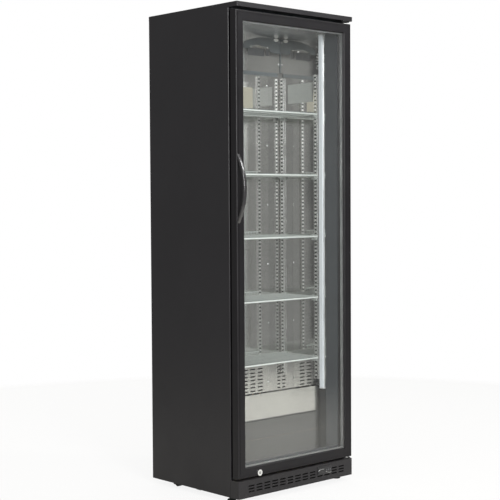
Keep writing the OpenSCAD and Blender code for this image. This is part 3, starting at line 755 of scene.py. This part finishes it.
def screw_head(shape, centre, out, radius, height):
    """A pan-head screw with a cross recess; out is the way it faces."""
    out = Vector(out)
    across = out.orthogonal().normalized()
    along = out.cross(across)

    def ring(points, level):
        return [centre + across * x + along * y + out * level for x, y in points]

    def circle(r, count=24):
        return [(r * math.cos(FULL_TURN * k / count), r * math.sin(FULL_TURN * k / count))
                for k in range(count)]

    shape.loft([ring(circle(radius * r), height * h) for r, h in
                ((1.0, 0), (1.0, 0.35), (0.93, 0.68), (0.80, 0.88), (0.66, 1.0))], caps=False)
    rim, recess = circle(radius * 0.66), cross_outline(radius * 0.52, radius * 0.13)
    flat = [Vector((x, y, 0)) for x, y in rim + recess]
    faces = tessellate_polygon([flat[:len(rim)], flat[len(rim):][::-1]])
    order = list(range(len(rim))) + list(range(len(flat) - 1, len(rim) - 1, -1))
    shape.add(ring(rim + recess, height), [tuple(order[i] for i in face) for face in faces])
    shape.loft([ring(recess, height), ring(recess, height * 0.25)], caps=False)
    start = len(shape.vertices)
    shape.vertices += ring(recess, height * 0.25)
    shape.faces.append(tuple(range(start, start + len(recess))))


PANEL_SCREW_R = 3.9 * MM
PANEL_SCREW_HIGH = 2.3 * MM
DUCT_SCREWS_X = 190
DUCT_SCREWS_Z = range(360, 1556, 239)
COVER_SCREW_PLACES = [(x, z) for x in (50, 255) for z in (1646, 1735)]


def make_panel_screws():
    """Cross-recess screws in the duct panel and the fan cover."""
    shape = Shape()
    for side in (-1, 1):
        places = [(DUCT_SCREWS_X, DUCT_FACE, z) for z in DUCT_SCREWS_Z]
        places += [(x, COVER_FACE, z) for x, z in COVER_SCREW_PLACES]
        for x, face, z in places:
            screw_head(shape, Vector((side * x * MM, face, z * MM)), (0, -1, 0),
                       PANEL_SCREW_R, PANEL_SCREW_HIGH)
    screws = finish_piece(shape, "cross_screws", "screw_steel", "cabinet")
    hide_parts("panel_screws")


# The slotted bars, in millimetres: places, ends, and the pitch of their holes
SIDE_BAR_Y = (111, 301)
SIDE_BAR_LOW = 385
BACK_BAR_X = 140
BACK_BAR_LOW = 462
BAR_TOP = 1588
HOLE_PITCH = 15


def bar_holes(low):
    """Heights of the lips under the holes of a bar that starts at low."""
    return [(z + 4.5, z + 10.5) for z in range(low + 8, BAR_TOP - 6, HOLE_PITCH)]


def make_bar_details():
    """Dark strips behind the bars' holes, painted shade that makes the holes read dark; a pressed
    lip below each, and rolled front edges.
    """
    dark, lips, rolled = Shape(), Shape(), Shape()
    high = (BAR_TOP - 1) * MM
    for side in (-1, 1):
        for y in SIDE_BAR_Y:
            mid = at(0, y, 0).y
            low = (SIDE_BAR_LOW + 1) * MM
            near, far = sorted((side * (INNER_HALF - 4.5 * MM), side * (INNER_HALF - 3.6 * MM)))
            block(dark, (near, mid - 8.5 * MM, low), (far, mid + 8.5 * MM, high))
            near, far = sorted((side * (INNER_HALF - 6.9 * MM), side * (INNER_HALF - 5.9 * MM)))
            for z0, z1 in bar_holes(SIDE_BAR_LOW):
                block(lips, (near, mid - 4 * MM, z0 * MM), (far, mid + 4 * MM, z1 * MM))
            edge = (side * (INNER_HALF - 6 * MM), mid - 10.6 * MM)
            rolled.tube([(*edge, low), (*edge, high)], 0.9 * MM, 8)
        x = side * BACK_BAR_X * MM
        block(dark, (x - 7.5 * MM, DUCT_FACE - 3.6 * MM, (BACK_BAR_LOW + 1) * MM),
              (x + 7.5 * MM, DUCT_FACE - 2.7 * MM, high))
        for z0, z1 in bar_holes(BACK_BAR_LOW):
            block(lips, (x - 4 * MM, DUCT_FACE - 5.9 * MM, z0 * MM),
                  (x + 4 * MM, DUCT_FACE - 4.9 * MM, z1 * MM))
    # The dark strips are painted shade inside the bars' channels
    finish_piece(dark, "bar_hole_shade_strips", "sponge_and_shade_black", "cabinet")
    finish_piece(lips, "bar_lips", "bar_lip", "cabinet")
    finish_piece(rolled, "bar_edges", "screw_steel", "cabinet")


def make_duct_details():
    """A black sheet behind the air vents, painted shade in them; a dark strip under the fan
    cover, a painted shadow; the corner beads.
    """
    lining, seal = Shape(), Shape()
    # Painted shade: a black sheet behind the vents
    for x0, x1 in ((-190, 190), (236, 261), (-261, -236)):
        block(lining, (x0 * MM, DUCT_FACE + 4 * MM, 322 * MM),
              (x1 * MM, DUCT_FACE + 4.6 * MM, 440 * MM))
    # Painted shadow: a dark strip on the duct panel just under the fan cover
    block(seal, (-247 * MM, DUCT_FACE - 1.6 * MM, 1595 * MM),
          (247 * MM, DUCT_FACE - 0.05 * MM, 1609.5 * MM))
    for side in (-1, 1):
        seal.tube([(side * (INNER_HALF - 1.6 * MM), COVER_FACE - 1.6 * MM, 1612 * MM),
                   (side * (INNER_HALF - 1.6 * MM), COVER_FACE - 1.6 * MM, 1748 * MM)],
                  1.5 * MM, 10)
    finish_piece(lining, "vent_shade_sheet", "sponge_and_shade_black", "cabinet")
    finish_piece(seal, "cover_shadow_strip_and_beads", "guide_grey", "cabinet")


# The upper corner guides of the fan cover, right half, as (x, z) in millimetres: an arched
# top edge and a lower edge that steps round the outlets.
GUIDE_TOP = [(60, 1717), (67, 1724), (86, 1732), (107, 1738), (128, 1743), (151, 1747),
             (185, 1748.5), (220, 1749), (262, 1749)]
GUIDE_LOW = [(262, 1689), (232, 1688.5), (214, 1690), (204, 1695), (202, 1711), (178, 1712),
             (160, 1713), (146, 1716), (134, 1717), (122, 1715), (110, 1710), (98, 1702),
             (84, 1699), (60, 1699)]


# The lips over the outlets: middle, half width, rise and height of the ends
OUTLET_LIPS = [(131, 37, 8, 1704), (192, 8, 0.8, 1706.5)]
LIP_STEPS = 14
OUTLET_RIBS_X = (97, 131, 165)


def make_fan_cover_trim():
    """Dark corner guides, bright lips over the outlets, the duct behind, and probe caps."""
    guides, lips, dark, caps = Shape(), Shape(), Shape(), Shape()
    for side in (-1, 1):
        outline = [(side * x * MM, z * MM) for x, z in GUIDE_TOP + GUIDE_LOW]
        slab(guides, outline, COVER_FACE - 2.2 * MM, COVER_FACE - 0.05 * MM)
        for middle, half, rise, top in OUTLET_LIPS:
            rows = []
            for k in range(LIP_STEPS + 1):
                t = 2 * k / LIP_STEPS - 1
                x = (middle + half * t) * side * MM
                z = (top + rise * (1 - t * t)) * MM
                deep = (1.5 + 5 * (1 - t * t)) * MM
                rows.append([Vector((x, y, z + dz)) for y, dz in (
                    (COVER_FACE - 2.3 * MM, 0), (COVER_FACE - 2.3 * MM - deep, -1.2 * MM),
                    (COVER_FACE - 2.3 * MM - deep, 0.6 * MM), (COVER_FACE - 2.3 * MM, 3 * MM))])
            lips.loft(rows)
        near, far = sorted((side * 70 * MM, side * 212 * MM))
        block(dark, (near, COVER_FACE + 2.3 * MM, 1664 * MM),
              (far, COVER_FACE + 3.0 * MM, 1712 * MM))
        for x in OUTLET_RIBS_X:
            block(dark, (side * x * MM - 0.8 * MM, COVER_FACE + 1.6 * MM, 1670 * MM),
                  (side * x * MM + 0.8 * MM, COVER_FACE + 2.4 * MM, 1704 * MM))
        oval = [(side * (236 + 12.5 * math.cos(a)) * MM, (1742 + 6.5 * math.sin(a)) * MM)
                for a in (FULL_TURN * k / 28 for k in range(28))]
        slab(caps, oval, COVER_FACE - 7 * MM, COVER_FACE - 2.2 * MM)
    finish_piece(guides, "corner_guides", "guide_grey", "cabinet", 0.6)
    finish_piece(lips, "outlet_lips", "pilaster_steel", "cabinet", 0.4)
    finish_piece(dark, "duct_lining", "duct_grey", "cabinet")
    finish_piece(caps, "probe_caps", "white_plastic", "cabinet", 1.5)


def make_blank_plates():
    """The interior's two labels as plain plates without any print."""
    right = Shape()
    block(right, (INNER_HALF - 0.35 * MM, at(0, 126, 0).y, 1484 * MM),
          (INNER_HALF - 0.05 * MM, at(0, 270, 0).y, 1560 * MM))
    block(right, (INNER_HALF - 0.5 * MM, at(0, 132, 0).y, 1545 * MM),
          (INNER_HALF - 0.34 * MM, at(0, 264, 0).y, 1546.5 * MM))
    finish_piece(right, "wall_plate", "label", "cabinet")
    rear = Shape()
    block(rear, (22 * MM, DUCT_FACE - 0.35 * MM, 1462 * MM),
          (110 * MM, DUCT_FACE - 0.05 * MM, 1544 * MM))
    finish_piece(rear, "rear_plate", "label_warm", "cabinet")


def make_filter_mat():
    """A black mesh mat right behind the plinth's slots, open round the controller."""
    shape = Shape()
    near, far = at(0, -40.9, 0).y, at(0, -40.2, 0).y
    for x0, x1, z0, z1 in ((-297, 108, 24, 80), (177, 297, 24, 80), (108, 177, 24, 48.5)):
        block(shape, (x0 * MM, near, z0 * MM), (x1 * MM, far, z1 * MM))
    finish_piece(shape, "filter_mat", "sponge_and_shade_black", "cabinet")


def make_controller_trim():
    """Raised pale metal arcs on the window, round a display and a row of keys, laid where the
    bezel's glints fall: painted highlights.
    """
    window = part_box("controller_lens")[0].y
    shape = Shape()
    for points in ([(107, 62), (113, 65), (121, 66.8), (130, 67.2), (138, 66.5)],
                   [(147, 55.6), (153, 52.6), (161, 50.6), (170, 49.8), (178, 49.6)]):
        shape.tube([Vector((x * MM, window - 0.1 * MM, z * MM)) for x, z in points],
                   0.8 * MM, 8)
    # The pale arcs are painted highlights standing in for the bezel's glints
    finish_piece(shape, "window_glint_arcs", "screw_steel", "cabinet")
    screen = Shape()
    block(screen, (110 * MM, window - 0.3 * MM, 53 * MM), (140 * MM, window - 0.02 * MM, 64 * MM))
    finish_piece(screen, "display_screen", "lens_black", "cabinet", 0.1)


LOCK_X, LOCK_Z = -197, 104.5
PLUG_FACE_Y = -45.5


def make_key_way():
    """A black block that fills the key's slot in the plug: painted shade."""
    place = at(LOCK_X, PLUG_FACE_Y, LOCK_Z)
    shape = Shape()
    block(shape, place + Vector((-0.75, 0.15, -3.4)) * MM, place + Vector((0.75, 5, 3.4)) * MM)
    # Painted shade in the key slot
    finish_piece(shape, "key_slot_shade", "sponge_and_shade_black", "lock_plug")


FAN_BLADES = 5
BLADE_STEPS = 10
BLADE_THICK = 1.1 * MM
FAN_BORE_R = 3.1 * MM


def make_fan(node, name, axis):
    """A moulded wheel: a domed hub and curved, twisted blades with rounded corners."""
    low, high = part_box(node)
    centre = (low + high) / 2
    depth = high["XY".index(axis)] - low["XY".index(axis)]
    radius = (high.z - low.z) / 2
    hub = 0.24 * radius
    bore = FAN_BORE_R
    half = depth / 2

    def turn(r, a, h):
        u, v = r * math.cos(a), r * math.sin(a)
        return centre + (Vector((h, u, v)) if axis == "X" else Vector((u, -h, v)))

    shape = Shape()
    profile = [(bore, -half), (hub * 0.94, -half), (hub, -half * 0.8), (hub, half * 0.5),
               (hub * 0.85, half * 0.86), (bore + 1 * MM, half), (bore, half)]
    shape.loft([[turn(r, FULL_TURN * k / 40, h) for k in range(40)] for r, h in profile]
               + [[turn(bore, FULL_TURN * k / 40, -half) for k in range(40)]], caps=False)
    for blade in range(FAN_BLADES):
        start = FULL_TURN * blade / FAN_BLADES
        rings = []
        for i in range(BLADE_STEPS + 1):
            t = i / BLADE_STEPS
            r = hub * 0.9 + t * (radius * 0.985 - hub * 0.9)
            swept = start + 0.30 * t * t
            chord = (0.50 + 0.12 * math.sin(math.pi * t)) * (1 - 0.45 * t ** 6)
            tilt = half * (0.86 - 0.35 * t)
            top, under = [], []
            for k in range(9):
                s = 2 * k / 8 - 1
                a = swept + s * chord
                h = s * tilt * 0.9 + half * 0.10 * (1 - s * s)
                top.append(turn(r, a, h + BLADE_THICK / 2))
                under.append(turn(r, a, h - BLADE_THICK / 2))
            rings.append(top + under[::-1])
        shape.loft(rings)
    wheel = finish_piece(shape, name, "fan_plastic", node, 0.0, 40)
    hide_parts(node)


def make_compressor_trim():
    """The welded seam round the compressor's shell."""
    seam = Shape()
    seam.lathe([(49.8 * MM, -2.2 * MM), (51.8 * MM, -1.6 * MM), (51.8 * MM, 1.6 * MM),
                (49.8 * MM, 2.2 * MM)], 64, at(150, 392, 92))
    finish_piece(seam, "shell_seam", "coil_black", "cabinet", 0.4)


# The rear screws: heights, and distance from the middle, in millimetres
PANEL_SCREWS_Z = (300, 560, 820, 1080, 1340, 1600, 1770)
COVER_SCREWS_Z = (34, 270)
REAR_SCREW_R = 4.2 * MM
REAR_SCREW_HIGH = 0.8 * MM


def make_cover_screws():
    """Screws in the edges of the rear panel and the machine cover."""
    shape = Shape()
    for node, x, heights in (("rear_panel", 276, PANEL_SCREWS_Z),
                             ("machine_cover", 274, COVER_SCREWS_Z)):
        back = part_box(node)[1].y
        for side in (-1, 1):
            for z in heights:
                screw_head(shape, Vector((side * x * MM, back, z * MM)), (0, 1, 0),
                           REAR_SCREW_R, REAR_SCREW_HIGH)
    finish_piece(shape, "cover_screws", "screw_steel", "cabinet")


make_panel_screws()
make_bar_details()
make_duct_details()
make_fan_cover_trim()
make_blank_plates()
make_filter_mat()
make_controller_trim()
make_key_way()
make_fan("evaporator_fan", "evaporator_wheel", "Y")
make_fan("condenser_fan", "condenser_wheel", "X")
make_compressor_trim()
make_cover_screws()


# ---------- soft edges on the CAD pieces ----------

# Widths of the bevels, in millimetres
EDGE_WIDTHS = {
    "side_panel_left": 0.5, "side_panel_right": 0.5, "top_cap": 1.2, "rear_panel": 0.3,
    "plinth_grille": 0.6, "throat_strips": 0.8, "fan_cover": 0.3, "duct_panel": 0.25,
    "door_stile_left": 0.6, "door_stile_right": 0.6, "door_rail_top": 0.6,
    "door_rail_bottom": 0.6, "light_housing": 0.4, "light_diffuser": 0.6,
    "controller_housing": 0.6, "controller_lens": 0.4, "button_1": 0.5, "button_2": 0.5,
    "button_3": 0.5, "lock_barrel": 0.7, "lock_plug": 0.25, "hinge_brackets": 0.4,
    "hinge_bushes": 0.4, "roller_left": 1.2, "roller_right": 1.2, "foot_left": 0.8,
    "foot_right": 0.8, "roller_brackets": 0.3, "power_inlet_box": 0.8, "shelf_clips": 0.5,
    "evaporation_tray": 0.5, "drip_tray": 0.5, "compressor": 1.5, "base_tray": 0.4,
    "condenser_fan_motor": 0.6, "evaporator_fan_motor": 0.6, "machine_cover": 0.2,
}
for node, width in EDGE_WIDTHS.items():
    shade_smooth_by_angle(nodes[node], 30)
    soften(nodes[node], width * MM)


# ---------- floor ----------

FLOOR_HALF = 12.0
FLOOR_Z = -0.0005
# Distances between which the floor fades out
FLOOR_FADE = (1.5, 3.0)
FLOOR_PALE = (0.60, 0.59, 0.55)
# How much of the floor the camera sees against the white backdrop, as a faint shadow
FLOOR_SHOWN = 0.12


def make_floor():
    """A pale floor that fades out well away from the object; the camera sees it faintly."""
    mesh = bpy.data.meshes.new("floor")
    mesh.from_pydata([(x * FLOOR_HALF, y * FLOOR_HALF, FLOOR_Z)
                      for x, y in ((-1, -1), (1, -1), (1, 1), (-1, 1))], [], [(0, 1, 2, 3)])
    made = Surface("floor", FLOOR_PALE, 0.7)
    distance = made.node("VectorMath", operation="LENGTH")
    made.link(made.place(), distance.inputs[0])
    away = distance.outputs["Value"]
    seen = made.node("LightPath").outputs["Is Camera Ray"]
    made.tint(made.ramp(made.noise(3, 4), 0, 0.2), (0.56, 0.55, 0.51))
    clear = made.node("BsdfTransparent")
    mix = made.node("MixShader")
    fade = made.ramp(away, 0, 1, *FLOOR_FADE)
    faint = made.math("MULTIPLY", seen, 1 - FLOOR_SHOWN)
    made.link(made.math("MAXIMUM", fade, faint), mix.inputs[0])
    made.link(made.shader.outputs[0], mix.inputs[1])
    made.link(clear.outputs[0], mix.inputs[2])
    made.link(mix.outputs[0], made.tree.nodes["Material Output"].inputs["Surface"])
    mesh.materials.append(made.material)
    floor = bpy.data.objects.new("floor", mesh)
    scene.collection.objects.link(floor)


make_floor()
